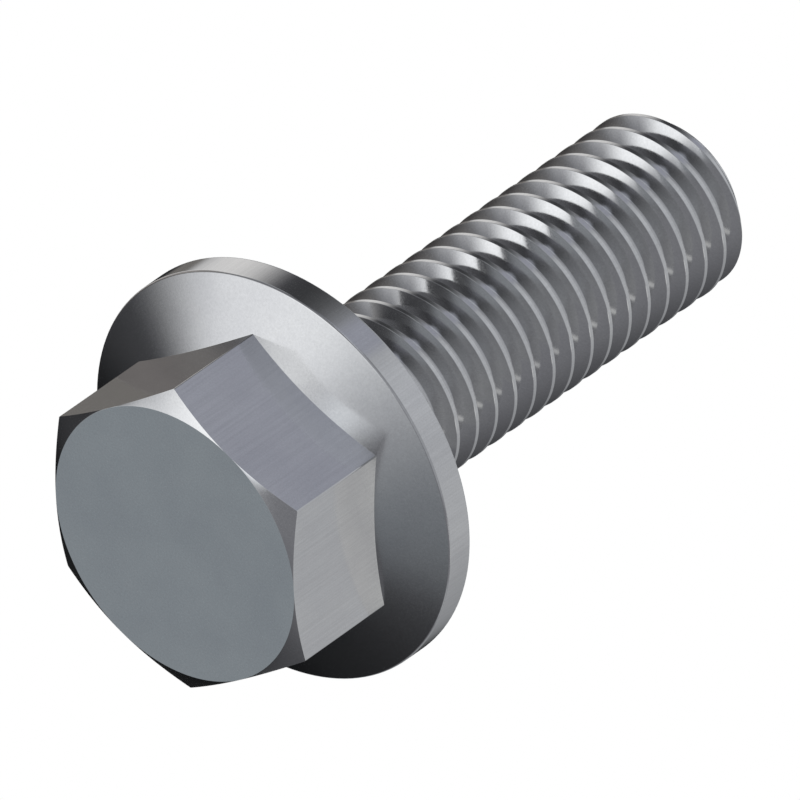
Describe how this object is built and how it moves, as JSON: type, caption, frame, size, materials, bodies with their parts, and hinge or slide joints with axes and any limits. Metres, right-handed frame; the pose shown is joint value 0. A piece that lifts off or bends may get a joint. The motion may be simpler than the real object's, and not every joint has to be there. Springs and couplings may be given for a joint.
{
  "type": "flange bolt",
  "caption": "Hexagon head bolt with a wide round flange under the head and a coarse right-hand screw thread along its shank.",
  "frame": {"origin": "centre of the head's end face, which the bolt stands on", "axes": "+Z along the bolt's axis, from the head's end face to the threaded tip; +X through a corner of the hexagon"},
  "size_m": [0.0222, 0.0222, 0.0392],
  "materials": {
    "plain_steel": "smooth satin, uncoated or clear zinc plated"
  },
  "bodies": {
    "root": {"flange_bolt": "plain_steel"}
  },
  "joints": []
}
